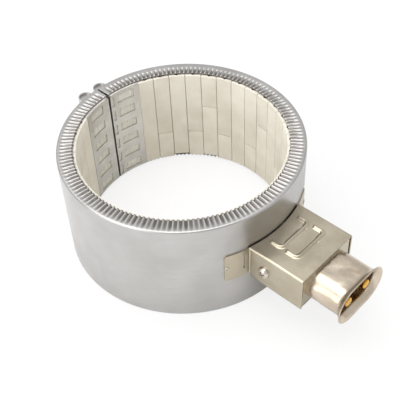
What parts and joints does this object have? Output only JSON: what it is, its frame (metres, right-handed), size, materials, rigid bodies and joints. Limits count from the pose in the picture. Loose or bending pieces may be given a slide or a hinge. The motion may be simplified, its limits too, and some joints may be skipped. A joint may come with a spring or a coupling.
{
  "type": "band heater",
  "caption": "Ceramic band heater: pleated steel sheath round a ring of ceramic tiles, a clamp across its gap, and a terminal box with an oval plug socket.",
  "frame": {"origin": "middle of the bore", "axes": "+Z along the bore, +Y towards the clamping gap, terminal box and socket on -Y"},
  "size_m": [0.154, 0.2237, 0.075],
  "materials": {
    "sheath_steel": "satin sheet steel, lightly rolled",
    "fibre_blanket": "matt ceramic fibre felt",
    "tile_ceramic": "matt unglazed steatite",
    "end_ceramic": "matt unglazed steatite",
    "coil_wire": "dull resistance wire",
    "lead_sleeve": "glass fibre sleeve",
    "plate_steel": "bright rolled sheet",
    "lug_steel": "satin rolled sheet",
    "bar_steel": "bright zinc-plated bar",
    "screw_steel": "bright plated steel",
    "box_nickel": "nickel-plated sheet, softly bright",
    "socket_nickel": "nickel-plated, softly bright, small dents",
    "socket_ceramic": "matt unglazed ceramic",
    "pin_brass": "bright brass"
  },
  "bodies": {
    "heater": {"outer_sheath": "sheath_steel", "insulation_blanket": "fibre_blanket", "heating_coil": "coil_wire", "lead_wires": "lead_sleeve", "end_plate_left": "plate_steel", "end_plate_right": "plate_steel", "end_ceramic_left": "end_ceramic", "end_ceramic_right": "end_ceramic", "clamp_lug_left": "lug_steel", "clamp_lug_right": "lug_steel", "clamp_bar_left": "bar_steel", "clamp_bar_right": "bar_steel", "clamp_washer_lower": "screw_steel", "clamp_washer_upper": "screw_steel", "box_body": "box_nickel", "box_cover": "box_nickel", "cover_screws": "screw_steel", "tab_rivets": "screw_steel", "socket_shell": "socket_nickel", "socket_insulator": "socket_ceramic", "contact_pin_left": "pin_brass", "contact_pin_right": "pin_brass", "pin_nuts": "pin_brass", "tile_column_01": "tile_ceramic", "tile_column_02": "tile_ceramic", "tile_column_03": "tile_ceramic", "tile_column_04": "tile_ceramic", "tile_column_05": "tile_ceramic", "tile_column_06": "tile_ceramic", "tile_column_07": "tile_ceramic", "tile_column_08": "tile_ceramic", "tile_column_09": "tile_ceramic", "tile_column_10": "tile_ceramic", "tile_column_11": "tile_ceramic", "tile_column_12": "tile_ceramic", "tile_column_13": "tile_ceramic", "tile_column_14": "tile_ceramic", "tile_column_15": "tile_ceramic", "tile_column_16": "tile_ceramic", "tile_column_17": "tile_ceramic", "tile_column_18": "tile_ceramic", "tile_column_19": "tile_ceramic", "tile_column_20": "tile_ceramic", "tile_column_21": "tile_ceramic", "tile_column_22": "tile_ceramic", "tile_column_23": "tile_ceramic", "tile_column_24": "tile_ceramic", "tile_column_25": "tile_ceramic", "tile_column_26": "tile_ceramic", "tile_column_27": "tile_ceramic", "tile_column_28": "tile_ceramic", "tile_column_29": "tile_ceramic", "tile_column_30": "tile_ceramic", "tile_column_31": "tile_ceramic", "tile_column_32": "tile_ceramic", "tile_column_33": "tile_ceramic", "tile_column_34": "tile_ceramic"},
    "lower_screw": {"clamp_screw_lower": "screw_steel"},
    "upper_screw": {"clamp_screw_upper": "screw_steel"}
  },
  "joints": [
    {"name": "lower_screw_turn", "type": "hinge", "parent": "heater", "child": "lower_screw", "pos_m": [0, 0.08149, -0.017], "axis": [1, 0, 0], "range_deg": [0, 675]},
    {"name": "upper_screw_turn", "type": "hinge", "parent": "heater", "child": "upper_screw", "pos_m": [0, 0.08149, 0.017], "axis": [1, 0, 0], "range_deg": [0, 675]}
  ]
}
